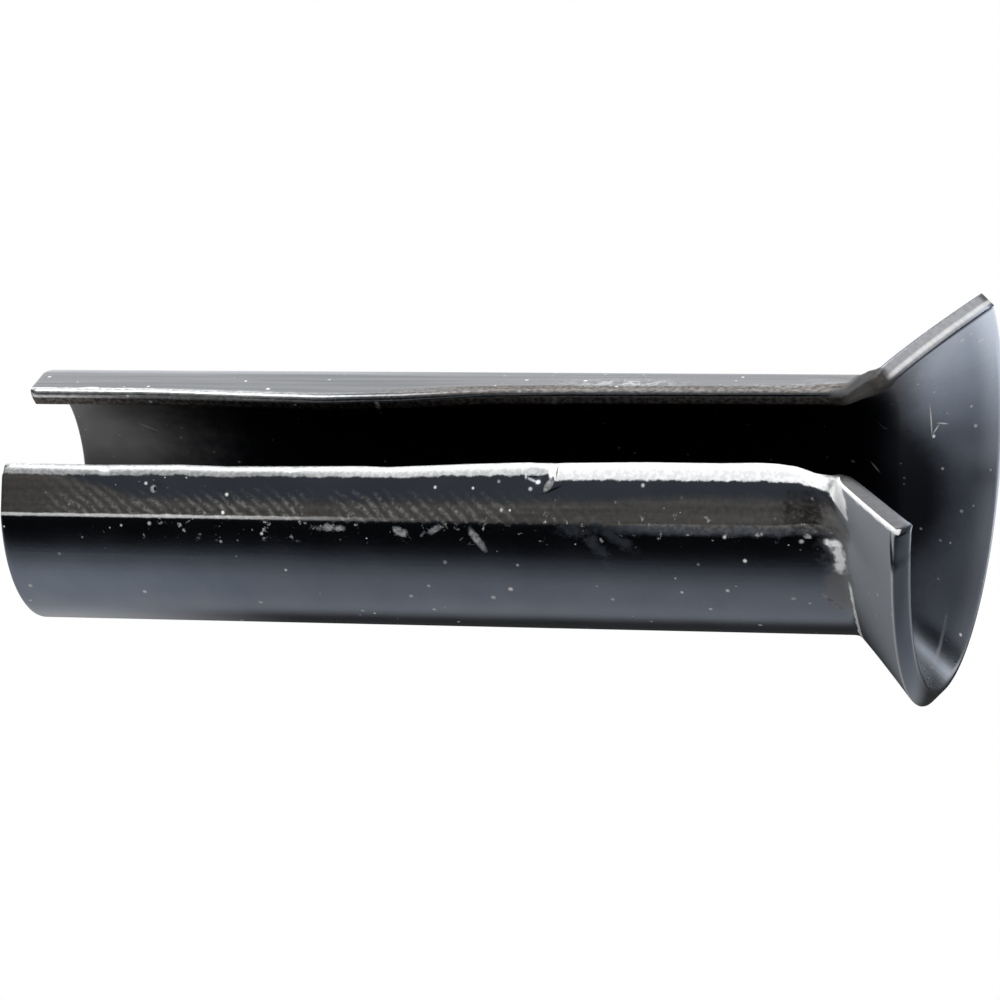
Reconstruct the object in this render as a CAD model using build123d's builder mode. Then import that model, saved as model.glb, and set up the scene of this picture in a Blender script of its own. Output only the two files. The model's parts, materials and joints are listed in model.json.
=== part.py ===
# Spring pin with a flared head, rolled from one strip of spring steel.
# The pin is built straight along X with its slot facing +Z, then laid down
# as it comes to rest, touching the floor at the rim and at the plain end.
# Millimetres, floor at z = 0, origin under the middle.

import os
from math import atan, cos, degrees, radians, sin, sqrt, tan

from build123d import *

os.makedirs("parts", exist_ok=True)

# ---- driving sizes ---------------------------------------------------------
shank_radius = 5.35         # outside of the rolled shank, free
wall = 0.9                  # thickness of the rolled strip
neck_position = 35.7        # from the plain end to the corner of the flare
flare_half_angle = 45.0     # seats in a 90 degree countersink
rim_radius = 8.9            # outside radius of the head at its rim
rim_skew = 9.5              # lean of the rim, where the strip was cut long
skew_toward = 72.0          # slot middle to the long side of the rim
neck_bend = 0.5             # radius of the bend outside, under the head
bow_position = 14.0         # where along the shank the far lip bows closest
swell_position = 24.0       # where along the shank the near lip swells closest
near_lip_end = 1.65         # slot middle to the near lip face, at the plain end
near_lip_bow = 1.5          # the same at the far lip's bow
near_lip_swell = 1.1        # the same at the near lip's swell
near_lip_neck = 1.45        # the same at the neck
far_lip_end = 1.9           # slot middle to the far lip face, at the plain end
far_lip_bow = 1.65          # the same at the far lip's bow
far_lip_swell = 2.2         # the same at the near lip's swell
far_lip_neck = 2.4          # the same at the neck
crease_angle = 43.0         # slot middle to where the flattened lips begin
shoulder = 0.35             # along the pin, from the neck to the lips' shoulders
near_shoulder_angle = 26.5  # slot middle to the near lip at its shoulder
far_shoulder_angle = 68.5   # slot middle to the far lip at its shoulder
near_rim_angle = 38.0       # slot middle to the near lip at the rim
far_rim_angle = 77.6        # slot middle to the far lip at the rim
near_lip_aim = 4.0          # height over the axis the head's near lip face points to
far_lip_aim = 1.9           # the same for the far lip face
lip_round = 0.45            # rolled-over outer corner of each lip
end_break = 0.12            # broken edges round the plain end
rim_break = 0.15            # broken edges of the head
rest_roll = 18.0            # roll at rest: the weight against the lean of the rim

# ---- sizes that follow -----------------------------------------------------
bore_radius = shank_radius - wall
flare = radians(flare_half_angle)
skew = radians(rim_skew)
neck_start = neck_position - 2 * neck_bend
rim_position = neck_position + (rim_radius - shank_radius) / tan(flare)
clear = rim_radius          # how far the cutters reach past the metal
gap_reach = 3 * rim_radius  # size of the cutter that opens the head


def toward(angle, reach):
    # a point across the pin: angle from the slot's middle, distance from the axis
    return Vector(reach * sin(radians(angle)), reach * cos(radians(angle)))


# ---- shank: the strip rolled round, its lips pressed flat, the slot open ----
with BuildPart() as shank:
    with BuildSketch(Plane.XZ) as tube_wall:
        with Locations((0, bore_radius)):
            Rectangle(neck_start, wall, align=Align.MIN)
        chamfer(tube_wall.vertices().sort_by(Axis.X)[:2], end_break)
    revolve(axis=Axis.X)
    near_crease = toward(-crease_angle, shank_radius)
    far_crease = toward(crease_angle, shank_radius)
    for place, near_lip, far_lip in (
        (0, near_lip_end, far_lip_end),
        (bow_position, near_lip_bow, far_lip_bow),
        (swell_position, near_lip_swell, far_lip_swell),
        (neck_start, near_lip_neck, far_lip_neck),
    ):
        near_top = Vector(-near_lip, sqrt(shank_radius**2 - near_lip**2))
        far_top = Vector(far_lip, sqrt(shank_radius**2 - far_lip**2))
        with BuildSketch(Plane.YZ.offset(place)) as opening:
            Polygon(
                (-near_lip, 0),
                near_top,
                2 * near_crease - near_top,
                (-clear, 2 * clear),
                (clear, 2 * clear),
                2 * far_crease - far_top,
                far_top,
                (far_lip, 0),
                align=None,
            )
            for top in (near_top, far_top):
                fillet(opening.vertices().sort_by_distance(top)[:1], lip_round)
    loft(ruled=True, mode=Mode.SUBTRACT)

# ---- head: the strip's end flared to a cone, split wider toward the rim -----
rim_reach = rim_radius * (1 + sin(skew))
rim_end = neck_position + (rim_reach - shank_radius) / tan(flare)
gap_end = rim_end + wall
inner_corner = neck_position + wall * tan(flare / 2)
with BuildPart() as head:
    with BuildSketch(Plane.XZ) as flared_wall:
        with BuildLine():
            Polyline(
                (neck_start, bore_radius),
                (neck_start, shank_radius),
                (neck_position, shank_radius),
                (rim_end, rim_reach),
                (rim_end + wall * sin(flare), rim_reach - wall * cos(flare)),
                (inner_corner, bore_radius),
                close=True,
            )
        make_face()
        fillet(flared_wall.vertices().sort_by_distance((neck_position, shank_radius))[:1], neck_bend)
        fillet(flared_wall.vertices().sort_by_distance((inner_corner, bore_radius))[:1], neck_bend + wall)
    revolve(axis=Axis.X)
    # the rim face stands square to the strip, on a cone that leans with the skew
    aside = sin(radians(skew_toward))
    up = cos(radians(skew_toward))
    lean = Axis((rim_position, 0, 0), (cos(skew), -sin(skew) * aside, -sin(skew) * up))
    across = (-sin(skew), -cos(skew) * aside, -cos(skew) * up)
    with BuildSketch(Plane(origin=lean.position, x_dir=lean.direction, z_dir=across)):
        Polygon(
            (rim_radius, 0),
            (-clear, rim_radius + clear),
            (rim_radius + clear, rim_radius + clear),
            (rim_radius + clear, 0),
            align=None,
        )
    revolve(axis=lean, mode=Mode.SUBTRACT)
    rim_face = head.faces().filter_by(GeomType.CONE).sort_by(SortBy.AREA)[0]
    fillet(rim_face.edges(), rim_break)
    # the gap: lip faces square to the slot at the neck, then swung open
    near_aim = Vector(-near_lip_neck / 2, near_lip_aim)
    far_aim = Vector(far_lip_neck / 2, far_lip_aim)
    with BuildSketch(Plane.YZ.offset(neck_position)):
        Polygon(
            (-near_lip_neck, 0),
            (-near_lip_neck, gap_reach),
            (0, 2 * gap_reach),
            (far_lip_neck, gap_reach),
            (far_lip_neck, 0),
            align=None,
        )
    for place in (neck_position + shoulder, gap_end):
        swing = (place - neck_position - shoulder) / (rim_position - neck_position - shoulder)
        near_angle = near_shoulder_angle + swing * (near_rim_angle - near_shoulder_angle)
        far_angle = far_shoulder_angle + swing * (far_rim_angle - far_shoulder_angle)
        outside = shank_radius + (place - neck_position) * tan(flare)
        with BuildSketch(Plane.YZ.offset(place)):
            Polygon(
                near_aim,
                near_aim + 3 * (toward(-near_angle, outside) - near_aim),
                (0, 2 * gap_reach),
                far_aim + 3 * (toward(far_angle, outside) - far_aim),
                far_aim,
                align=None,
            )
    loft(ruled=True, mode=Mode.SUBTRACT)
    with Locations((neck_start, -near_lip_neck, 0)):
        Box(
            neck_position - neck_start,
            near_lip_neck + far_lip_neck,
            clear,
            align=Align.MIN,
            mode=Mode.SUBTRACT,
        )

with BuildPart() as straight_pin:
    add(shank.part)
    add(head.part)

# ---- at rest on the rim and the plain end -----------------------------------
heavy = straight_pin.part.center(CenterOf.MASS)


def rest(roll):
    # the pin rolled, its tilt on the floor and the height its weight then has
    rolled = Rot(roll, 0, 0) * straight_pin.part
    rim_low = -rolled.bounding_box().min.Z
    rim_touch = neck_position + (rim_low - shank_radius) / tan(flare)
    tilt = atan((rim_low - shank_radius) / (rim_touch - end_break))
    drop = heavy.Y * sin(radians(roll)) + heavy.Z * cos(radians(roll))
    height = (drop + shank_radius) * cos(tilt) + (heavy.X - end_break) * sin(tilt)
    return height, roll, degrees(tilt), rolled


# of all the ways it can roll, it comes to rest where its weight is lowest
weight_height, rest_roll, rest_tilt, rolled = min(rest(roll) for roll in range(-60, 61, 3))
laid = Rot(0, -rest_tilt, 0) * rolled
under = laid.bounding_box()
with BuildPart() as spring_pin:
    add(Pos(-under.center().X, -under.center().Y, -under.min.Z) * laid)

spring_pin.part.label = "spring_pin"
export_step(spring_pin.part, "parts/spring_pin.step")
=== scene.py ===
# %% [markdown]
# # A flared spring pin
# The real pin starts as a flat strip of spring steel. The strip is cut to
# length, its edges are rubbed down, it is rolled round until it is almost a
# tube, and one end is opened out into a split, countersunk head. Then it is
# blackened in a hot salt bath. This lesson makes the pin in the same order,
# on top of the solid model that other people measure and simulate.

# %% Load the solid model
import json
from math import asin, copysign, cos, degrees, pi, radians, sin, sqrt, tan

import bmesh
import bpy
from mathutils import Matrix, Vector


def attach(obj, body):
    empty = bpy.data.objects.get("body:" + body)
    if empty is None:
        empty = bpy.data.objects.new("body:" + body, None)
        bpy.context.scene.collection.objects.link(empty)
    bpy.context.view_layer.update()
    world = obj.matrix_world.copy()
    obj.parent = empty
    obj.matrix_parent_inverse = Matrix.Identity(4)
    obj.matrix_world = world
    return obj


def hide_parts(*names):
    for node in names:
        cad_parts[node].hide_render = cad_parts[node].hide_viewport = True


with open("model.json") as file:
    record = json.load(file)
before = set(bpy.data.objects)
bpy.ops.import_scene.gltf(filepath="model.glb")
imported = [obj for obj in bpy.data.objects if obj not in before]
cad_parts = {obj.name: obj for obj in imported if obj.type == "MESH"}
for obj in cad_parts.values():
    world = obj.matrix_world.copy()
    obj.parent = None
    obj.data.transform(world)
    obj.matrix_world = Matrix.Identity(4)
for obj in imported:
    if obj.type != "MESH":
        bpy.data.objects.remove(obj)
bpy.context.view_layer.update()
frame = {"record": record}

# %% [markdown]
# ## Where the pin lies
# The solid's record says where its shank is and how thick it is. Reading the
# place from there, rather than typing it again, keeps this pin on the solid
# when the solid's sizes change. Lengths below are in millimetres along and
# across the pin, and one matrix turns them into metres in the room.

# %% Read the pin's own axes from the record
MM = 0.001
mounts = {m["name"]: m for m in frame["record"]["mounts"]}
shank_radius = mounts["shank"]["dims"]["r_mm"]
wall = shank_radius - mounts["bore"]["dims"]["r_mm"]
end_break = 0.12            # broken edge of the plain end
rest_roll = 18.0            # degrees the slot has rolled toward the viewer at rest

along = -Vector(mounts["shank"]["axis"]).normalized()
half_shank = mounts["shank"]["dims"]["length_mm"] / 2 + end_break
plain_end = Vector(mounts["shank"]["pos_m"]) - along * half_shank * MM
neck = (Vector(mounts["countersunk_seat"]["pos_m"]) - plain_end).dot(along) / MM
level = Vector((0, 1, 0))
square = along.cross(level)
across = level * cos(radians(rest_roll)) + square * sin(radians(rest_roll))
slot_up = square * cos(radians(rest_roll)) - level * sin(radians(rest_roll))
lay_down = Matrix.Translation(plain_end) @ Matrix(
    [[MM * v[i] for v in (along, across, slot_up)] for i in range(3)]
).to_4x4()
print("shank:", round(2 * shank_radius, 2), "mm across, wall", round(wall, 2), "mm")
print("neck:", round(neck, 2), "mm from the plain end")

# %% [markdown]
# ## The strip's outline
# A rolled pin isn't a perfect tube. Its two lips were pressed flat before the
# rolling closed, so each keeps a flat facet with a crease behind it. The slot
# between them isn't even: the near lip closes in toward the neck, the far one
# is closest a third of the way along. On the head the lips swing open. These
# few sizes describe all of that. Angles are measured round the axis from the
# middle of the slot.

# %% Sizes of the lips, the crease and the head
near_lip = (                # along the pin, slot middle to the lip, in millimetres
    (0.0, 1.55), (4.0, 1.6), (8.0, 1.55), (10.0, 1.6), (16.0, 1.52),
    (17.0, 1.55), (20.5, 1.37), (23.5, 1.25), (28.0, 1.15), (31.0, 1.16),
    (32.6, 1.12), (33.4, 1.15), (34.2, 1.27), (35.0, 1.55),
)
far_lip = (
    (0.0, 1.9), (6.0, 1.88), (10.0, 1.72), (13.5, 1.6), (17.0, 1.75),
    (20.5, 2.1), (24.0, 2.2), (34.7, 2.3),
)
crease = 43.0               # degrees from the slot's middle to the crease
flare = radians(45.0)       # the head's slope against the axis
neck_bend = 0.5             # radius of the bend between shank and head
bend_start = neck - neck_bend * tan(flare / 2)
bend_length = neck_bend * flare
rim_radius = 8.9
rim_skew = radians(9.5)     # how far the rim leans
skew_toward = radians(72.0)
rim_place = neck + rim_radius - shank_radius
shoulder = neck + 0.35      # where the head's own lips begin
gap_end = neck + rim_radius * (1 + sin(rim_skew)) - shank_radius + wall
head_lips = {               # degrees at the shoulder, degrees at the rim, where the lip aims
    "near": (23.2, 36.4, (-0.925, 4.0)),
    "far": (66.0, 75.6, (1.2, 1.9)),
}
swing_start = {"near": neck - 0.9, "far": neck - 0.4}
swing_end = {"near": shoulder + 0.35, "far": neck + 0.45}
open_by = [lips[1] for lips in head_lips.values()]
print("head:", rim_radius, "mm in radius, its lips", open_by, "degrees from the slot's middle")


# %% Where the lips lie
def between(stops, x):
    # a value read off a short list of (place, value) stops
    for (x0, v0), (x1, v1) in zip(stops, stops[1:]):
        if x <= x1:
            return v0 + (v1 - v0) * max(0.0, (x - x0) / (x1 - x0))
    return stops[-1][1]


def ease(x, low, high):
    # 0 below low, 1 above high, and smooth between them
    t = min(1.0, max(0.0, (x - low) / (high - low)))
    return t * t * (3 - 2 * t)


def head_corner(side, x):
    # where the lip's cutting line stands across the head, at one place along it
    start, at_rim, aim = head_lips[side]
    sign = -1 if side == "near" else 1
    aim = Vector(aim)
    ends = []
    for place in (shoulder, gap_end):
        swing = (place - shoulder) / (rim_place - shoulder)
        angle = radians(start + swing * (at_rim - start))
        outside = shank_radius + place - neck
        point = Vector((sign * outside * sin(angle), outside * cos(angle)))
        ends.append(aim + 3 * (point - aim))
    t = (x - shoulder) / (gap_end - shoulder)
    return aim, ends[0].lerp(ends[1], t)


def lip_angle(side, x, r):
    # angle from the slot's middle to the lip, on a ring of radius r
    narrow = degrees(asin(between(near_lip if side == "near" else far_lip, x) / r))
    if x < swing_start[side]:
        return narrow
    aim, corner = head_corner(side, max(x, shoulder))
    d = (corner - aim).normalized()
    b, c = aim.dot(d), aim.dot(aim) - r * r
    p = aim + d * (-b + sqrt(b * b - c))
    wide = degrees(abs(Vector((0, 1)).angle(p)))
    swing = ease(x, swing_start[side], swing_end[side])
    return narrow + (wide - narrow) * swing


middle_lips = [round(lip_angle(side, neck / 2, shank_radius), 1) for side in head_lips]
print("lips at mid length:", middle_lips, "degrees from the slot's middle")

# %% [markdown]
# ## The side view
# Cut the pin along its axis and its wall is a line: straight, bent through 45
# degrees at the neck, and straight again to the rim. The rim leans, so how far
# along the strip it lies is found for each angle by halving an interval until
# the cone at that angle meets the leaning rim.

# %% Where the rim and the fold lie
halvings = 24


def rim_distance(angle):
    # how far along the strip the leaning rim lies, at an angle round the axis
    aside = sin(rim_skew)
    lean = Vector((cos(rim_skew), -aside * sin(skew_toward), -aside * cos(skew_toward)))
    low, high = shank_radius, 2 * rim_radius
    for _ in range(halvings):
        r = (low + high) / 2
        p = Vector((neck + r - shank_radius - rim_place, r * sin(angle), r * cos(angle)))
        ahead = p.dot(lean)
        if ahead + (p - ahead * lean).length < rim_radius:
            low = r
        else:
            high = r
    slope_start = shank_radius + neck_bend * (1 - cos(flare))
    return bend_start + bend_length + (r - slope_start) / sin(flare)


rim_table = [rim_distance(radians(a)) for a in range(-180, 181)]


def rim_at(angle):
    # the same, read off the table
    a = (angle + 180) % 360
    i = int(a)
    return rim_table[i] + (rim_table[min(i + 1, 360)] - rim_table[i]) * (a - i)


def profile(d, depth):
    # distance along the strip and depth into the wall, to along the axis and out from it
    slope = min(max(d - bend_start, 0.0), bend_length) / neck_bend
    straight = max(d - bend_start - bend_length, 0.0)
    x = min(d, bend_start) + neck_bend * sin(slope) + straight * cos(slope)
    r = shank_radius + neck_bend * (1 - cos(slope)) + straight * sin(slope)
    return x + depth * sin(slope), r - depth * cos(slope)


late_near, late_far = 0.6, 0.3


def fold_shift(y):
    # the fold between shank and head isn't square: it comes later beside the slot
    near_shift = late_near * ease(y, -14.8, -12.5) * (1 - ease(y, -9.5, -1.5))
    return near_shift + late_far * ease(y, 6.0, 12.0)


print("rim lies", round(min(rim_table), 2), "to", round(max(rim_table), 2), "mm along the strip")

# %% [markdown]
# ## The blank
# The blank is a plate. A grid gives it rows and columns to bend along, and
# extruding the grid's faces gives it its thickness. The first and last row
# and column are kept wide, so that the bevels have room to round the long
# edges over, as tumbling does to the real strip.

# %% Make the flat blank
blank_length = 40.6
blank_width = 30.0
rows, columns = 226, 118
edge_row, edge_column = 0.3, 0.5    # width of the first and last row, and column
half = blank_width / 2
crease_share = 0.845        # of the way from the strip's middle to a lip
crease_line = crease_share * half
crease_cuts = (-0.12, -0.04, 0.04, 0.12)    # extra rows on both sides of the crease

blank = bmesh.new()
bmesh.ops.create_grid(blank, x_segments=rows, y_segments=columns, size=0.5)


def spread(t, count, size, edge):
    # a grid line's place, with a fixed first and last gap
    i = round(t * count)
    if i == 0:
        return 0.0
    if i == count:
        return size
    return edge + (i - 1) * (size - 2 * edge) / (count - 2)


for v in blank.verts:
    v.co.x = spread(v.co.x + 0.5, rows, blank_length, edge_row)
    v.co.y = spread(v.co.y + 0.5, columns, blank_width, edge_column) - blank_width / 2
for side in (-1, 1):
    for step in crease_cuts:
        bmesh.ops.bisect_plane(
            blank, geom=blank.verts[:] + blank.edges[:] + blank.faces[:],
            plane_co=(0, side * (crease_line + step), 0), plane_no=(0, 1, 0),
        )
thick = bmesh.ops.extrude_face_region(blank, geom=blank.faces[:])["geom"]
lower = [part for part in thick if isinstance(part, bmesh.types.BMVert)]
bmesh.ops.translate(blank, vec=(0, 0, -wall), verts=lower)
bmesh.ops.recalc_face_normals(blank, faces=blank.faces[:])
print("blank:", len(blank.verts), "corners,", len(blank.faces), "faces")


# %% Round the edges over
near_enough = 1e-4


def on_edge(axis, place, top):
    # the blank's edges that lie on one side, at the top or the bottom face
    depth = 0.0 if top else -wall

    def there(v):
        return abs(v.co[axis] - place) < near_enough and abs(v.co.z - depth) < near_enough

    return [e for e in blank.edges if all(there(v) for v in e.verts)]


def round_over(edges, width, steps):
    # a rounded bevel along some edges
    bmesh.ops.bevel(
        blank, geom=edges, offset=width, offset_type="OFFSET", segments=steps,
        profile=0.5, affect="EDGES", material=-1, clamp_overlap=False,
    )


lip_round = 0.42            # outer corners of the lips
lip_break = 0.1             # their inner corners
rim_break = 0.15
round_over(on_edge(1, -half, True) + on_edge(1, half, True), lip_round, 5)
round_over(on_edge(1, -half, False) + on_edge(1, half, False), lip_break, 2)
round_over(on_edge(0, 0.0, True) + on_edge(0, 0.0, False), end_break, 3)
round_over(on_edge(0, blank_length, True) + on_edge(0, blank_length, False), rim_break, 3)
print("rounded blank:", len(blank.faces), "faces")


# %% [markdown]
# ## Rolling and flaring
# Rolling is one formula: how far a point is across the strip gives its angle
# round the axis, and how far along gives its place on the side view. Knocks
# and rubbing are taken off the strip's face on the way.

# %% Dents and the rubbed lip
dents = (                   # along, across, radius, depth
    (23.5, -14.35, 0.55, 0.16), (24.2, -14.75, 0.35, 0.12), (7.0, -13.84, 0.25, 0.1),
    (4.7, -14.75, 0.3, 0.1), (12.9, -14.8, 0.3, 0.06), (17.4, -12.2, 0.4, 0.05),
)
rub_depth, rub_width = 0.14, 0.7        # rubbed off the near lip
harder_depth, harder_width = 0.14, 0.2  # more of both, from the dent on
dent_end = (23.0, 23.6)                 # where the harder rubbing sets in
rub_end = (35.3, 36.4)                  # where the rubbing fades out on the head


def worn(x, y):
    # how far dents and the rubbed near lip lie below the strip's own face
    low = 0.0
    for along_it, across_it, radius, deep in dents:
        gap = ((x - along_it) ** 2 + (y - across_it) ** 2) ** 0.5 / radius
        low += deep * (1 - ease(gap, 0.0, 1.0))
    hard = ease(x, *dent_end)
    rub = max(0.0, 1 - (half + y) / (rub_width + harder_width * hard))
    return low + (rub_depth + harder_depth * hard) * rub ** 1.2 * (1 - ease(x, *rub_end))


def sharper(gap, share):
    # pulls a rounded edge in toward its corner; gap is the distance from the corner
    if gap < lip_round:
        return gap * share
    if gap < 2 * lip_round:
        return lip_round * share + (gap - lip_round) * (2 - share)
    return gap


print("the near lip's edge is worn down by", round(worn(30.0, -half), 2), "mm near the neck")

# %% [markdown]
# ## One point of the strip
# Everything that happens to a point is in one function, in the order of the
# bends. On the head the rim's place depends on the angle and the angle on the
# place, so four rounds of working out one from the other settle both.

# %% How one point moves
head_start = 34.4           # from here on the strip is stretched to meet the rim
opening = head_start - 1.0  # from here on the flat lips begin to open
sharp_on_head = 0.7         # how much of the lips' rounding is taken back there
corner_cut = 0.26           # the far lip's end isn't square: it is cut back
edge_cut = 0.16             # and both outer corners are


def rolled(flat):
    # the place of a point of the flat blank once it is rolled and flared,
    # in the pin's own axes, and how far along the strip it lies
    x, y, z = flat
    side, sign = ("near", -1) if y < 0 else ("far", 1)
    share_left = 1 - sharp_on_head * ease(x, neck - 0.4, neck + 0.6)
    y = copysign(half - sharper(half - abs(y), share_left), y)
    if z > -2 * lip_round and (abs(y) > half - 0.01 or -z < lip_round):
        z = -sharper(-z, share_left)
    x += corner_cut * ease(y, 6.0, 14.4) * max(0.0, 1 - x / 6)
    x += edge_cut * ease(abs(y), 14.2, 15.0) * max(0.0, 1 - x / 2)
    share = abs(y) / half
    depth = -z
    d, angle = x, 0.0
    on_shank = 1 - ease(x, opening, neck)
    for _ in range(4):
        px, pr = profile(d, depth)
        lip = lip_angle(side, px, pr)
        bend = (180 - crease_share * (180 - lip)) * (1 - on_shank) + crease * on_shank
        if share < crease_share:
            angle = 180 - share / crease_share * (180 - bend)
        else:
            angle = bend - (share - crease_share) / (1 - crease_share) * (bend - lip)
        if x <= head_start:
            break
        t = (x - head_start) / (blank_length - head_start)
        d = head_start + t * (rim_at(sign * angle) - head_start)
    if depth < wall / 2:
        depth += worn(x, y)
    px, pr = profile(d, depth)
    flat_lip = 1 - ease(px, opening, neck - 0.2)
    if angle < crease and flat_lip > 0:
        outer_lip = lip_angle(side, px, shank_radius)
        mid, span = (crease + outer_lip) / 2, (crease - outer_lip) / 2
        facet = shank_radius * cos(radians(span)) / cos(radians(max(angle, outer_lip) - mid))
        pr -= (shank_radius - facet) * flat_lip * (1 - depth / wall)
    rim = rim_at(sign * angle)
    on_head = min(1.0, max(0.0, (rim - d) / (rim - neck)))
    px += fold_shift(y) * ease(px, neck - 2.5, neck) * on_head ** (2 if side == "far" else 1)
    turn = radians(sign * angle)
    return Vector((px, pr * sin(turn), pr * cos(turn))), d


head_corner_place = rolled((blank_length, half, 0.0))[0]
print("the blank's far head corner lands at", [round(c, 2) for c in head_corner_place])

# %% [markdown]
# The flat place of each point is kept as an attribute, because marks made in
# the strip, such as grinding lines, follow the strip and not the room. The
# distance to the rim is kept too, for the wear beside it.

# %% Roll the strip and flare its end
strip_place = blank.verts.layers.float_vector.new("strip")
left_to_rim = blank.verts.layers.float.new("rim_gap")
for v in blank.verts:
    v[left_to_rim] = blank_length - v.co.x
    place, distance = rolled(v.co)
    v[strip_place] = (distance, v.co.y, v.co.z)
    v.co = place
bmesh.ops.transform(blank, matrix=lay_down, verts=blank.verts[:])
for face in blank.faces:
    face.smooth = True
mesh = bpy.data.meshes.new("rolled_pin")
blank.to_mesh(mesh)
blank.free()
rolled_pin = bpy.data.objects.new("rolled_pin", mesh)
bpy.context.scene.collection.objects.link(rolled_pin)
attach(rolled_pin, "root")
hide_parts("spring_pin")
triangles = sum(len(p.vertices) - 2 for p in mesh.polygons)
print("rolled pin:", len(mesh.polygons), "faces,", triangles, "triangles")

# %% [markdown]
# ## A way of writing materials
# A material is a small machine of nodes joined by wires. One helper makes a
# node, sets its choices, and either types a value into each socket or wires
# another node into it, so each step of the finish reads as one line.

# %% A helper for nodes
def node(tree, kind, values=None, **choices):
    # a new node with its sockets filled or wired
    made = tree.nodes.new("ShaderNode" + kind)
    for name, choice in choices.items():
        setattr(made, name, choice)
    for name, value in (values or {}).items():
        socket = made.inputs[name]
        if isinstance(value, bpy.types.NodeSocket):
            tree.links.new(value, socket)
        else:
            socket.default_value = value
    return made


def sums(tree, kind, *values, clamp=False):
    # one step of arithmetic
    return node(tree, "Math", dict(enumerate(values)), operation=kind, use_clamp=clamp).outputs[0]


def fade(tree, value, full, none):
    # 1 where the value is at full, 0 where it is at none, smooth between
    values = {"Value": value, "From Min": full, "From Max": none, "To Min": 1.0, "To Max": 0.0}
    return node(tree, "MapRange", values, interpolation_type="SMOOTHSTEP").outputs["Result"]


def grain(tree, vector, scale, detail=2.0, roughness=0.5):
    # soft random values
    values = {"Vector": vector, "Scale": scale, "Detail": detail, "Roughness": roughness}
    return node(tree, "TexNoise", values).outputs["Fac"]


def stretched(tree, vector, size, turn=0.0, move=(0, 0, 0)):
    # the same coordinates, moved, turned and stretched
    values = {"Vector": vector, "Scale": size, "Rotation": (0, 0, radians(turn)), "Location": move}
    return node(tree, "Mapping", values).outputs["Vector"]


def blend(tree, mask, below, above):
    # one colour laid over another through a mask
    values = {0: mask, 6: below, 7: above}
    return node(tree, "Mix", values, data_type="RGBA").outputs[2]


def mixed(tree, mask, below, above):
    # one value laid over another through a mask
    values = {0: mask, 2: below, 3: above}
    return node(tree, "Mix", values).outputs[0]


def new_effect(name, takes, gives):
    # an empty node group with named sockets
    group = bpy.data.node_groups.new(name, "ShaderNodeTree")
    for label, kind, value in takes:
        socket = group.interface.new_socket(label, in_out="INPUT", socket_type="NodeSocket" + kind)
        if value is not None:
            socket.default_value = value
    for label in gives:
        group.interface.new_socket(label, in_out="OUTPUT", socket_type="NodeSocketFloat")
    take = group.nodes.new("NodeGroupInput").outputs
    return group, take, group.nodes.new("NodeGroupOutput").inputs


def effect(tree, group, **values):
    # a group placed in a material, with its sockets filled or wired
    made = tree.nodes.new("ShaderNodeGroup")
    made.node_tree = group
    for label, value in values.items():
        socket = made.inputs[label.replace("_", " ")]
        if isinstance(value, bpy.types.NodeSocket):
            tree.links.new(value, socket)
        else:
            socket.default_value = value
    return made.outputs


print("helpers are ready")

# %% [markdown]
# ## Effects on the steel
# Dust is a scatter of small pale grains. A rub is a ragged oval patch laid
# anywhere on the strip. Scoring is a row of close parallel cuts, as a belt
# grinder leaves them. Each is a node group, so it can be placed many times.

# %% Dust, rubs and scoring
specks, take, give = new_effect(
    "dust_specks",
    (("Vector", "Vector", None), ("Spacing", "Float", 1.2), ("Size", "Float", 0.1)),
    ("Mask",),
)
crowding = sums(specks, "DIVIDE", 1.0, take["Spacing"])
cell = node(specks, "TexVoronoi", {"Vector": take["Vector"], "Scale": crowding})
odds = node(specks, "SeparateColor", {"Color": cell.outputs["Color"]}).outputs
reach = sums(specks, "MULTIPLY", take["Size"], sums(specks, "ADD", 0.35, odds["Red"]))
inside = sums(specks, "DIVIDE", cell.outputs["Distance"], reach)
bright = sums(specks, "ADD", 0.3, sums(specks, "MULTIPLY", odds["Green"], 0.9), clamp=True)
specks.links.new(sums(specks, "MULTIPLY", bright, fade(specks, inside, 0.35, 1.15)), give["Mask"])

rub, take, give = new_effect(
    "ragged_rub",
    (
        ("Vector", "Vector", None), ("Grain", "Float", 0.0), ("Rag", "Float", 1.0),
        ("Stretch", "Vector", (1, 1, 0)), ("Shift", "Vector", (0, 0, 0)),
        ("Inner", "Float", 0.8), ("Outer", "Float", 1.1),
    ),
    ("Mask",),
)
set_out = {0: take["Vector"], 1: take["Stretch"], 2: take["Shift"]}
set_out = node(rub, "VectorMath", set_out, operation="MULTIPLY_ADD").outputs[0]
ring = node(rub, "VectorMath", {0: set_out}, operation="LENGTH").outputs["Value"]
edge = sums(rub, "MULTIPLY_ADD", take["Grain"], take["Rag"], ring)
rub.links.new(fade(rub, edge, take["Inner"], take["Outer"]), give["Mask"])

scoring, take, give = new_effect(
    "scoring",
    (
        ("Vector", "Vector", None), ("Turn", "Float", 0.0),
        ("Spacing", "Float", 0.4), ("Rag", "Float", 3.0),
    ),
    ("Mask",),
)
angle = sums(scoring, "RADIANS", take["Turn"])
spun = node(
    scoring, "VectorRotate", {"Vector": take["Vector"], "Angle": angle}, rotation_type="Z_AXIS",
).outputs[0]
bands = node(
    scoring, "TexWave",
    {
        "Vector": spun, "Scale": sums(scoring, "DIVIDE", pi / 10, take["Spacing"]),
        "Distortion": take["Rag"], "Detail": 2.0, "Detail Scale": 0.6,
    },
).outputs["Fac"]
scoring.links.new(bands, give["Mask"])
print("effects:", specks.name, rub.name, scoring.name)

# %% [markdown]
# ## Blackened steel
# The hot salt bath turns the skin of the steel into thin black oxide. It is
# still a metal: it mirrors the room, only darkly. Where the pin rubs on other
# pins the oxide is gone and bright steel shows, first on the lips and creases.
# The coordinates are the strip's own, in millimetres: along, across and deep.

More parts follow.
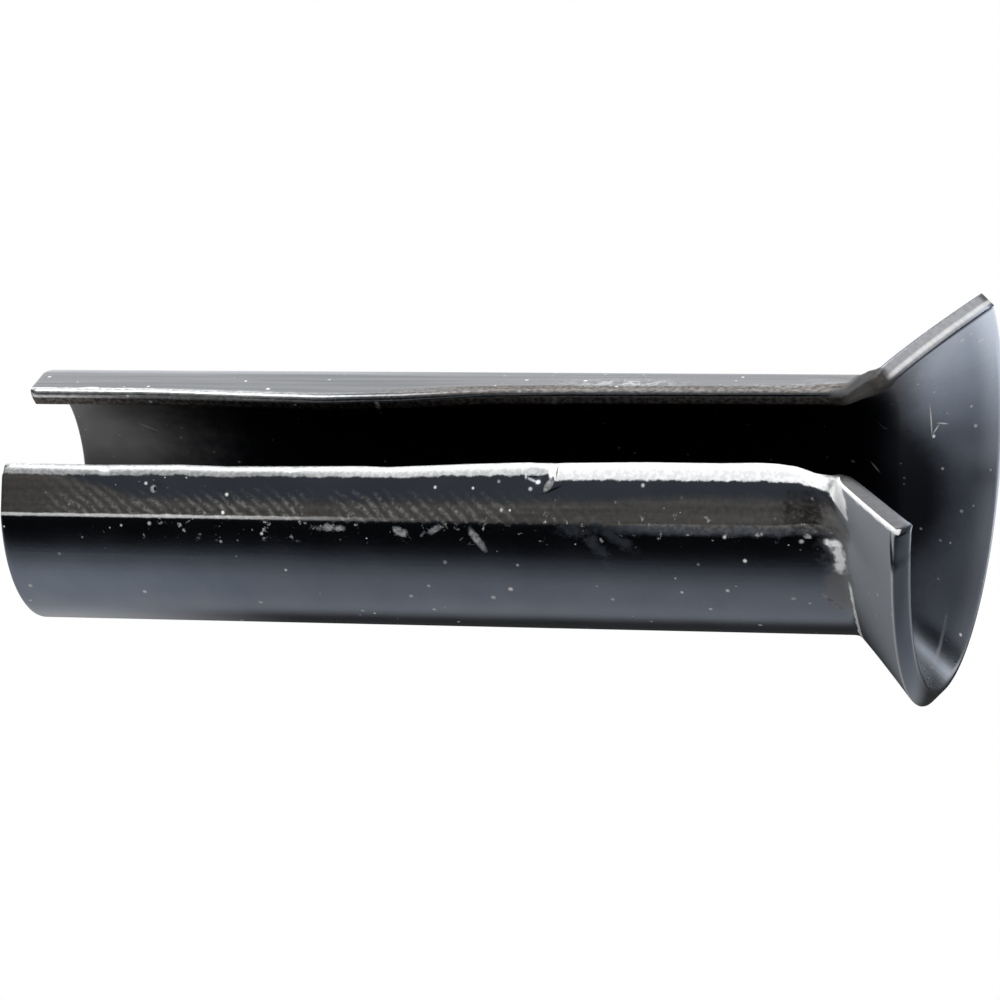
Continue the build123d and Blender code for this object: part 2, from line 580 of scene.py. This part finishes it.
# %% Coordinates on the strip
steel = bpy.data.materials.new("blackened_steel")
steel.use_nodes = True
tree = steel.node_tree
shader = tree.nodes["Principled BSDF"]
strip = node(tree, "Attribute", attribute_name="strip").outputs["Vector"]
along_strip, across_strip, height = node(tree, "SeparateXYZ", {0: strip}).outputs[:3]
to_rim = node(tree, "Attribute", attribute_name="rim_gap").outputs["Fac"]
from_middle = sums(tree, "ABSOLUTE", across_strip)
near_edge = sums(tree, "ADD", half, across_strip)
far_edge = sums(tree, "SUBTRACT", half, across_strip)
cloud = grain(tree, strip, 0.45, 2.0, 0.55)
fine = grain(tree, strip, 5.0, 2.0, 0.6)
rough_edge = sums(tree, "SUBTRACT", grain(tree, strip, 1.9, 3.0, 0.65), 0.5)    # round zero
streaks = grain(tree, stretched(tree, strip, (0.1, 3.6, 1.0)), 1.0, 2.0, 0.6)
print("the strip's coordinates and four kinds of grain are set out")


# %% Masks, and how they are put together
def both(*masks):
    # where all masks meet
    result = masks[0]
    for mask in masks[1:]:
        result = sums(tree, "MULTIPLY", result, mask)
    return result


def either(*masks):
    # where any mask lies
    result = masks[0]
    for mask in masks[1:]:
        result = sums(tree, "MAXIMUM", result, mask)
    return result


def nudged(value, much):
    # a value made ragged by noise
    return sums(tree, "ADD", value, sums(tree, "MULTIPLY", rough_edge, much))


def gap_to(value, place):
    # how far a value is from a place, on either side
    return sums(tree, "ABSOLUTE", sums(tree, "SUBTRACT", value, place))


near_side = sums(tree, "LESS_THAN", across_strip, 0.0)
far_side = sums(tree, "SUBTRACT", 1.0, near_side)
outer = fade(tree, height, -0.06, -0.2)
inner = fade(tree, height, -0.8, -0.7)
on_shank = fade(tree, along_strip, neck - 0.6, neck + 0.1)
to_neck = fade(tree, along_strip, neck + 0.1, neck + 0.5)
toward_head = fade(tree, along_strip, 30.0, 25.0)
near_skin = both(outer, near_side, on_shank)
cut_face = both(
    fade(tree, from_middle, half - 0.005, half - 0.03), fade(tree, height, -0.3, -0.15),
)
on_facet = both(outer, fade(tree, from_middle, crease_line + 0.02, crease_line - 0.02))
print("masks are set out")

# %% [markdown]
# The lips are where the pin is handled, driven and knocked, so they are bare.
# From the dent at mid length to the neck the near lip was rubbed hard, which
# leaves a broad bright band, and white painted highlight is laid over it. The
# crease behind it shows a thin white line, partly wear and partly painted
# highlight.

# %% Lips, crease and neck rubbed bare; the crease line is partly painted highlight
line_width = 0.34           # on the head
band_width, hard_width = 0.57, 0.76     # on the shank, before the dent and after it
hard_part = both(fade(tree, along_strip, 24.25, 24.1), to_neck)
lip_width = mixed(tree, to_neck, line_width, mixed(tree, hard_part, band_width, hard_width))
lip_zone = fade(tree, height, -0.3, -0.42)
past_band = sums(tree, "SUBTRACT", nudged(near_edge, 0.3), lip_width)
lip_wear = both(lip_zone, fade(tree, past_band, 0.0, 0.1))
far_lip_line = mixed(tree, fade(tree, along_strip, 4.0, 9.0), 0.3, 0.5)
far_lip_wear = both(
    lip_zone, fade(tree, nudged(far_edge, 0.2), far_lip_line, 0.6),
    mixed(tree, fade(tree, along_strip, 10.0, 16.0), 0.12, 1.0),
)
crease_gap = gap_to(from_middle, crease_line + 0.04)
# the crease's thin line: partly wear, partly painted highlight
crease_wear_and_highlight = both(
    near_skin, fade(tree, nudged(crease_gap, 0.12), 0.03, 0.1), fade(tree, along_strip, 8.0, 20.0),
)
low_side = both(outer, near_side, fade(tree, from_middle, 5.6, 4.6))
neck_gap = gap_to(along_strip, neck + 0.2)
neck_line = both(
    low_side, fade(tree, nudged(neck_gap, 0.3), 0.07, 0.17), fade(tree, from_middle, 10.2, 10.7),
)
beside_neck = gap_to(along_strip, neck - 0.1)
neck_wear = both(
    low_side, fade(tree, nudged(beside_neck, 1.2), 0.1, 0.9),
    fade(tree, from_middle, 9.6, 8.2), fade(tree, from_middle, 13.0, 14.0),
)
print("edges are worn")

# %% [markdown]
# A scratch or a scuff that has torn the skin is rough and scatters light, so
# it looks grey from every side. The torn marks below are set where this pin
# has them: flakes under the crease, a smear, and the patches at the neck.
# Each is one row of a list: along, across, length, width, turn in degrees,
# how ragged its edge is, how soft, and how strongly it shows.

# %% A rub, and a list of rubs
turned = {0.0: strip}       # the strip's coordinates, shared by all rubs of one turn


def rub_at(x, y, length, width, turn, rag, soft):
    # one ragged rub on the strip
    if turn not in turned:
        turned[turn] = stretched(tree, strip, (1, 1, 1), turn)
    middle = Matrix.Rotation(radians(turn), 2) @ Vector((x, y))
    return effect(
        tree, rub, Vector=turned[turn], Grain=rough_edge, Rag=rag,
        Stretch=(1 / length, 1 / width, 0), Shift=(-middle.x / length, -middle.y / width, 0),
        Inner=1 - soft, Outer=1 + 0.4 * soft,
    )["Mask"]


def rubs(*rows):
    # many rubs as one mask
    masks = []
    for *form, strength in rows:
        mask = rub_at(*form)
        masks.append(mask if strength == 1 else both(mask, strength))
    return either(*masks)


print("a rub can be laid anywhere on the strip")

# %% Scuffs, flakes and scratches
patchy = both(far_side, fade(tree, rough_edge, 0.12, -0.04))
scuffs = either(
    rub_at(3.1, 14.5, 0.4, 0.16, 0.0, 0.6, 0.2),
    both(rub_at(26.3, 13.75, 3.4, 0.8, 0.0, 3.8, 0.9), patchy, 0.8),
    both(rub_at(33.2, 14.1, 3.0, 0.45, 0.0, 3.4, 0.9), patchy, 0.5),
)
torn = rubs(
    (20.95, -11.98, 0.17, 0.55, 33.0, 2.0, 0.6, 1),
    (17.7, -12.2, 0.35, 0.2, -20.0, 2.6, 0.5, 1),
    (19.2, -12.35, 0.5, 0.15, 20.0, 3.2, 0.5, 1),
    (14.6, -12.35, 0.7, 0.15, 0.0, 3.4, 0.5, 1),
    (24.0, -14.0, 0.32, 0.15, 55.0, 0.5, 0.4, 1),
    (6.87, -13.82, 0.15, 0.17, 0.0, 0.3, 0.3, 1),
    (35.0, -9.25, 0.65, 0.08, -55.0, 0.6, 0.7, 1),
)
torn_white = rubs(
    (23.02, -14.36, 0.06, 0.17, 0.0, 0.5, 0.7, 0.6),
    (23.27, -14.2, 0.28, 0.06, -20.0, 0.5, 0.7, 0.5),
    (23.52, -14.13, 0.12, 0.09, 0.0, 0.5, 0.7, 0.9),
    (23.23, -13.87, 0.1, 0.09, 0.0, 0.3, 0.7, 0.6),
    (24.07, -14.5, 0.14, 0.3, 0.0, 0.5, 0.4, 1),
    (36.25, -14.15, 0.62, 0.6, 0.0, 0.9, 0.2, 1),
    (35.3, -12.05, 0.35, 0.16, 0.0, 3.0, 0.7, 0.9),
    (35.5, -11.3, 0.3, 0.6, 0.0, 3.8, 0.7, 0.8),
    (34.3, -12.0, 0.09, 0.1, 0.0, 0.4, 0.7, 0.6),
    (35.6, -11.4, 0.06, 0.5, 0.0, 1.0, 0.7, 0.8),
)
smears = rubs(
    (26.0, -11.8, 0.3, 1.0, 33.0, 4.0, 1.0, 1),
    (26.9, -12.1, 1.0, 0.25, -35.0, 3.4, 1.0, 1),
    (25.3, -12.4, 0.9, 0.3, 0.0, 3.8, 1.0, 1),
)
# painted shade: small pits, cracks and a notch at the rim painted black
pit_shade = rubs(
    (6.94, -13.82, 0.08, 0.1, 0.0, 0.2, 0.2, 1),
    (24.14, -13.83, 0.5, 0.05, 20.0, 0.3, 0.6, 0.9),
    (24.3, -14.5, 0.03, 0.3, 0.0, 0.3, 0.8, 1),
    (23.35, -14.33, 0.22, 0.04, 0.0, 0.3, 0.8, 0.8),
    (40.1, -14.2, 0.1, 0.5, 0.0, 1.2, 0.6, 1),
)
inside_scratches = both(inner, rubs(
    (37.65, 9.5, 0.035, 1.0, 0.0, 0.4, 0.9, 0.8),
    (37.75, 8.45, 0.08, 0.12, 0.0, 0.4, 0.6, 1),
    (37.88, 8.85, 0.3, 0.04, -55.0, 0.4, 0.8, 0.7),
    (38.25, 9.1, 0.3, 0.04, 20.0, 0.4, 0.8, 0.7),
    (38.8, -2.6, 0.1, 1.8, 0.0, 1.8, 0.9, 0.12),
    (3.4, 6.9, 0.55, 0.05, 33.0, 0.8, 0.6, 0.4),
    (5.7, 8.8, 0.35, 0.05, 55.0, 0.8, 0.6, 0.5),
    (6.6, 9.0, 0.05, 0.5, 0.0, 0.8, 0.6, 0.5),
))
lip_scratches = both(cut_face, rubs(
    (15.9, 15.0, 0.1, 1.0, 0.0, 0.4, 0.6, 1),
    (23.4, 15.0, 0.14, 1.0, 0.0, 0.4, 0.6, 1),
))
print("marks are placed, in", len(turned), "directions")

# %% [markdown]
# The near facet was ground on a belt, which leaves close slanted lines and a
# brown-grey skin from the crease half way up to the lip. Dust lies all over
# the pin, crumbs of scale lie thickest under the crease, and the bore gets
# black where light no longer reaches.

# %% Grinding lines on the near facet
ragged_crease = both(fade(tree, along_strip, 14.0, 4.0), 0.7)
ragged_crease = both(ragged_crease, sums(tree, "ADD", rough_edge, 0.04))
ground_line = sums(tree, "ADD", from_middle, ragged_crease)
ground = both(near_skin, fade(tree, ground_line, crease_line + 0.02, crease_line - 0.04))
facet_side = sums(tree, "SUBTRACT", from_middle, both(toward_head, 0.2))
facet_side = sums(tree, "SUBTRACT", facet_side, both(fade(tree, along_strip, 0.0, 7.5), 1.4))
ground_half = both(
    ground, fade(tree, nudged(facet_side, 0.5), crease_line + 0.5, crease_line + 0.95),
)
ground_low = both(
    near_skin, toward_head, fade(tree, from_middle, crease_line, crease_line + 0.06),
    fade(tree, nudged(from_middle, 0.4), crease_line - 0.1, crease_line - 0.5),
)
scores = effect(tree, scoring, Vector=strip, Turn=52.0, Spacing=0.37, Rag=6.0)["Mask"]
scored_part = both(
    fade(tree, along_strip, 5.0, 0.5), fade(tree, along_strip, 16.0, 27.0),
    fade(tree, cloud, 0.4, 0.7),
)
broken_scores = sums(tree, "ADD", scores, sums(tree, "ADD", both(streaks, 0.4), rough_edge))
scored = both(
    ground, fade(tree, nudged(from_middle, 1.2), crease_line + 0.5, crease_line + 1.3),
    scored_part, fade(tree, broken_scores, 1.15, 0.5),
)
print("the near facet is ground")

# %% Dust, crumbs, grime and the dark bore
neck_grime = both(outer, rub_at(34.8, -12.95, 1.3, 1.1, 0.0, 2.0, 0.7))
belly = both(fade(tree, gap_to(across_strip, 5.2), 0.5, 5.5), 2.0)
dark_inside = both(
    inner, fade(tree, nudged(along_strip, 3.0), 8.5, 2.0),
    fade(tree, nudged(sums(tree, "SUBTRACT", along_strip, belly), 0.5), 35.3, 38.4),
)
near_crease = both(
    near_skin, fade(tree, along_strip, 6.0, 3.0),
    fade(tree, gap_to(from_middle, crease_line - 0.3), 0.3, 0.8),
)
crumbly = sums(tree, "ADD", rough_edge, both(fine, 0.35))
crumbs = both(near_crease, fade(tree, crumbly, 0.38, 0.3))
dust = effect(tree, specks, Vector=strip, Spacing=0.85, Size=0.105)["Mask"]
grit = effect(tree, specks, Vector=strip, Spacing=0.42, Size=0.085)["Mask"]
grit = both(grit, near_skin, fade(tree, from_middle, 12.0, 11.0), fade(tree, cloud, 0.56, 0.46))
dust = both(either(dust, grit), mixed(tree, dark_inside, 1.0, 0.3))
print("dust and grime are set out")

# %% Where the last coats go
low_lip = both(fade(tree, nudged(far_edge, 0.4), 0.75, 1.0), fade(tree, along_strip, 20.0, 14.0))
lip_face = either(
    both(cut_face, fade(tree, along_strip, neck + 0.2, neck + 0.9)),
    both(far_side, outer, on_shank, low_lip),
)
shaded_lip = both(far_side, fade(tree, far_edge, 0.45, 0.65), fade(tree, beside_neck, 0.5, 0.9))
# a paler skin on the near side of the head
paler_head_side = both(
    outer, near_side, fade(tree, along_strip, neck + 0.3, neck - 0.3),
    fade(tree, from_middle, 12.0, 6.0),
)
beside_rim = both(
    inner, fade(tree, along_strip, neck + 2.0, neck + 1.0), fade(tree, to_rim, 0.1, 1.4),
)
# painted highlight: a white line low on the head's far cut face, by its inner edge
head_edge_highlight = both(
    cut_face, far_side, fade(tree, along_strip, neck + 1.0, neck + 0.4),
    fade(tree, gap_to(height, -0.7), 0.02, 0.1), 0.5,
)
# painted highlight: a faint white line along the rim's outer edge, on the near side
rim_edge_highlight = both(
    outer, near_side, fade(tree, to_rim, 0.13, 0.2), fade(tree, to_rim, 0.05, 0.02), 0.35,
)
bare = either(lip_wear, far_lip_wear, scuffs)
# painted highlight: the strength of the white laid over the near lip's bare band
band_glint = mixed(tree, fade(tree, along_strip, 12.0, 17.0), 0.4, 0.12)
# white scuffs and scratches, together with the painted highlights on the crease, the lips, the
# head's edge and the rim
white_marks_and_highlights = either(
    torn_white, neck_line, both(crease_wear_and_highlight, 0.6),
    # painted highlight along the near lip on the head, and along its bare band on the shank
    both(lip_wear, near_side, fade(tree, along_strip, neck + 0.5, neck), 0.7),
    both(lip_wear, near_side, on_shank, mixed(tree, hard_part, band_glint, 0.6)),
    inside_scratches, head_edge_highlight, rim_edge_highlight,
)
scratched = either(torn, crumbs, both(lip_scratches, 0.4))
dulled = either(both(smears, 0.15), both(ground_low, 0.7))
print("the last masks are set out")

# %% [markdown]
# ## The coats
# The skin is built up in layers, the oxide first and the dust last. Each coat
# is one row: where it lies, its colour, and for a mottled one its lighter
# colour and the grain that mottles it.

# %% The colours, coat over coat
blotch = fade(tree, fine, 0.62, 0.38)
scored_tone = both(sums(tree, "ADD", both(scores, scored_part), fine), 0.35)
ground_tone = sums(tree, "ADD", scored_tone, both(streaks, 0.4))
skin = blend(tree, cloud, (0.112, 0.132, 0.168, 1), (0.165, 0.185, 0.222, 1))
for where, colour, *lighter in (
    (both(inner, on_shank), (0.1, 0.1, 0.105, 1), (0.32, 0.32, 0.325, 1), cloud),
    (both(on_facet, far_side), (0.06, 0.065, 0.075, 1), (0.25, 0.26, 0.275, 1), streaks),
    (paler_head_side, (0.36, 0.385, 0.42, 1)),
    (ground_half, (0.04, 0.038, 0.036, 1), (0.5, 0.485, 0.47, 1), ground_tone),
    (both(scored, 0.8), (0.2, 0.195, 0.19, 1), (0.75, 0.73, 0.71, 1), blotch),
    (cut_face, (0.17, 0.175, 0.185, 1), (0.2, 0.205, 0.215, 1), blotch),
    (lip_face, (0.06, 0.054, 0.048, 1), (0.2, 0.18, 0.165, 1), blotch),
    (beside_rim, (0.28, 0.31, 0.36, 1)),
    (dark_inside, (0.012, 0.013, 0.018, 1)),
    (both(neck_grime, fade(tree, fine, 0.38, 0.72), 0.85), (0.06, 0.05, 0.043, 1)),
    (both(shaded_lip, 0.85), (0.02, 0.018, 0.016, 1)),
    (both(neck_wear, 0.8), (0.2, 0.2, 0.2, 1)),
    (bare, (0.62, 0.63, 0.64, 1), (0.88, 0.89, 0.9, 1), blotch),
    (dulled, (0.04, 0.038, 0.036, 1), (0.12, 0.115, 0.11, 1), blotch),
    (scratched, (0.14, 0.14, 0.14, 1), (0.3, 0.3, 0.3, 1), blotch),
    # white: real marks and painted highlights
    (white_marks_and_highlights, (0.88, 0.89, 0.9, 1), (1.0, 1.0, 1.0, 1), blotch),
    # painted shade in pits, cracks and notches
    (pit_shade, (0.01, 0.01, 0.012, 1)),
    (dust, (0.85, 0.85, 0.84, 1)),
):
    over = blend(tree, lighter[1], colour, lighter[0]) if lighter else colour
    skin = blend(tree, where, skin, over)
tree.links.new(skin, shader.inputs["Base Color"])
print("the coats are laid")

# %% Shine, metal and relief
oxide_rough, bare_rough = (0.18, 0.28), (0.25, 0.5)     # smoothest and roughest
dull_rough, matt_rough = 0.48, 0.85
dull = either(ground_half, cut_face, both(inner, on_shank), dark_inside)
shine = mixed(tree, dull, mixed(tree, cloud, *oxide_rough), dull_rough)
shine = mixed(tree, bare, shine, mixed(tree, fine, *bare_rough))
brown_lip = both(
    lip_face, far_side, fade(tree, along_strip, 24.0, 15.0), mixed(tree, cut_face, 0.75, 0.4),
)
half_matt = either(
    dulled, both(paler_head_side, 0.6), both(neck_wear, 0.5), brown_lip, both(shaded_lip, 0.9),
)
matt = either(half_matt, torn, crumbs, white_marks_and_highlights, dust, lip_scratches)
tree.links.new(mixed(tree, matt, shine, matt_rough), shader.inputs["Roughness"])
tree.links.new(sums(tree, "SUBTRACT", 1.0, matt), shader.inputs["Metallic"])
grain_relief, streak_relief = 0.14, 0.15
relief_depth = 0.02 * MM
relief = sums(tree, "ADD", both(fine, grain_relief), both(streaks, streak_relief))
bump = node(tree, "Bump", {"Height": relief, "Strength": 1.0, "Distance": relief_depth})
tree.links.new(bump.outputs["Normal"], shader.inputs["Normal"])
mesh.materials.append(steel)
print("blackened steel has", len(tree.nodes), "nodes")

# %% [markdown]
# ## The table and the light
# Small shiny parts are shot on white paper that is lit from behind and from
# above, in a room kept dark on the camera's side. Here no lamp lights the
# paper: it glows, and its glow is painted light, a pool of light just in front
# of the pin, painted shadow right under it and brighter glow again behind it,
# which only the steel's reflections see. The steel shows what it mirrors: the
# bright sheet behind the pin draws the pale top edge, the painted glow just in
# front of it gives the soft band low on the side, and the dark room gives the
# black between them. The camera itself sees the paper and the room plain white.

# %% Floor
bpy.context.scene.view_settings.view_transform = "Standard"
paper_width = 2.0
bpy.ops.mesh.primitive_plane_add(size=paper_width)
floor = bpy.context.object
floor.name = "floor"
paper = bpy.data.materials.new("paper_with_painted_glow")
paper.use_nodes = True
tree = paper.node_tree
shader = tree.nodes["Principled BSDF"]
place = node(tree, "TexCoord").outputs["Object"]
seen = node(tree, "LightPath").outputs["Is Camera Ray"]
sideways, ahead = node(tree, "SeparateXYZ", {0: place}).outputs[:2]


def glow_across(stops):
    # the paper's painted glow, from stops of (metres from the middle toward the far side,
    # brightness)
    value = 0.0
    for (y0, v0), (y1, v1) in zip(stops, stops[1:]):
        step = {"Value": ahead, "From Min": y0, "From Max": y1, "To Min": 0.0, "To Max": v1 - v0}
        rise = node(tree, "MapRange", step, interpolation_type="SMOOTHSTEP").outputs["Result"]
        value = sums(tree, "ADD", value, rise)
    return sums(tree, "ADD", value, stops[0][1])


# painted light: a pool of glow in front of the pin, painted shadow under it, brighter again behind
in_front = glow_across((
    (-0.06, 0.01), (-0.035, 0.05), (-0.024, 0.22), (-0.0105, 0.6), (-0.0065, 0.68),
    (-0.0043, 0.05), (0.008, 0.03), (0.02, 0.8),
))
by_plain_end = glow_across((
    (-0.06, 0.01), (-0.032, 0.1), (-0.02, 0.4), (-0.01, 0.85),
    (-0.005, 0.8), (-0.002, 0.35), (0.012, 1.2),
))
beside_head = glow_across((
    (-0.02, 0.35), (-0.008, 0.55), (-0.005, 0.8), (-0.003, 0.3),
    (0.001, 0.42), (0.004, 0.9), (0.009, 1.9),
))
in_front = mixed(tree, fade(tree, sideways, -0.019, -0.008), in_front, by_plain_end)
painted_floor_light = mixed(tree, fade(tree, sideways, 0.0265, 0.0205), in_front, beside_head)
glow = node(tree, "Emission", {"Color": mixed(tree, seen, painted_floor_light, 1.0), "Strength": 1.0})
tree.links.new(glow.outputs["Emission"], tree.nodes["Material Output"].inputs["Surface"])
tree.nodes.remove(shader)
paper.cycles.emission_sampling = "NONE"
floor.data.materials.append(paper)
print("the paper's glow has", len(tree.nodes), "nodes")

# %% Room
dark_wall, pale_ceiling = 0.006, 0.2
world = bpy.data.worlds.new("studio")
bpy.context.scene.world = world
world.use_nodes = True
tree = world.node_tree
up = node(tree, "SeparateXYZ", {0: node(tree, "TexCoord").outputs["Generated"]}).outputs["Z"]
room = mixed(tree, fade(tree, up, 0.6, 0.3), dark_wall, pale_ceiling)
room = mixed(tree, node(tree, "LightPath").outputs["Is Camera Ray"], room, 1.0)
tree.links.new(room, tree.nodes["Background"].inputs["Color"])
print("the room is dark below and pale above")


# %% Lamps
def softbox(name, spot, aim, width, height, watts):
    # a flat lamp that shines from a spot toward an aim
    lamp = bpy.data.lights.new(name, "AREA")
    lamp.shape = "RECTANGLE"
    lamp.size, lamp.size_y = width, height
    lamp.energy = watts
    thing = bpy.data.objects.new(name, lamp)
    facing = (Vector(aim) - Vector(spot)).to_track_quat("-Z", "Y").to_matrix().to_4x4()
    thing.matrix_world = Matrix.Translation(spot) @ facing
    bpy.context.scene.collection.objects.link(thing)
    return thing


# name, spot, aim, width, height, watts
softbox("overhead", (-0.03, 0.12, 0.35), (0, 0, 0), 0.4, 0.25, 1.1)
softbox("backdrop", (-0.1, 0.35, 0.1), (-0.05, 0, 0.05), 0.6, 0.2, 0.58)
softbox("right", (0.4, 0.12, 0.1), (0, 0, 0.02), 0.5, 0.16, 0.09)
fill = softbox("fill", (0.02, -0.12, 0.3), (0, 0, 0), 0.15, 0.15, 0.8)
fill.visible_glossy = False
print("four softboxes are hung")

# %% Camera
camera = bpy.data.cameras.new("camera")
camera.lens = 162           # a long lens, as small parts are shot with
camera.sensor_width = 36
camera.clip_start = 0.01
camera_roll = radians(-6.49)
camera_thing = bpy.data.objects.new("camera", camera)
spot = Vector((0.044216, -0.141692, 0.125086))
aim = Vector((0.000305, -0.000214, 0.006631))
tilt = Matrix.Rotation(camera_roll, 4, "Z")
facing = (aim - spot).to_track_quat("-Z", "Y").to_matrix().to_4x4()
camera_thing.matrix_world = Matrix.Translation(spot) @ facing @ tilt
bpy.context.scene.collection.objects.link(camera_thing)
bpy.context.scene.camera = camera_thing
print("the camera stands", round((aim - spot).length, 3), "m away")
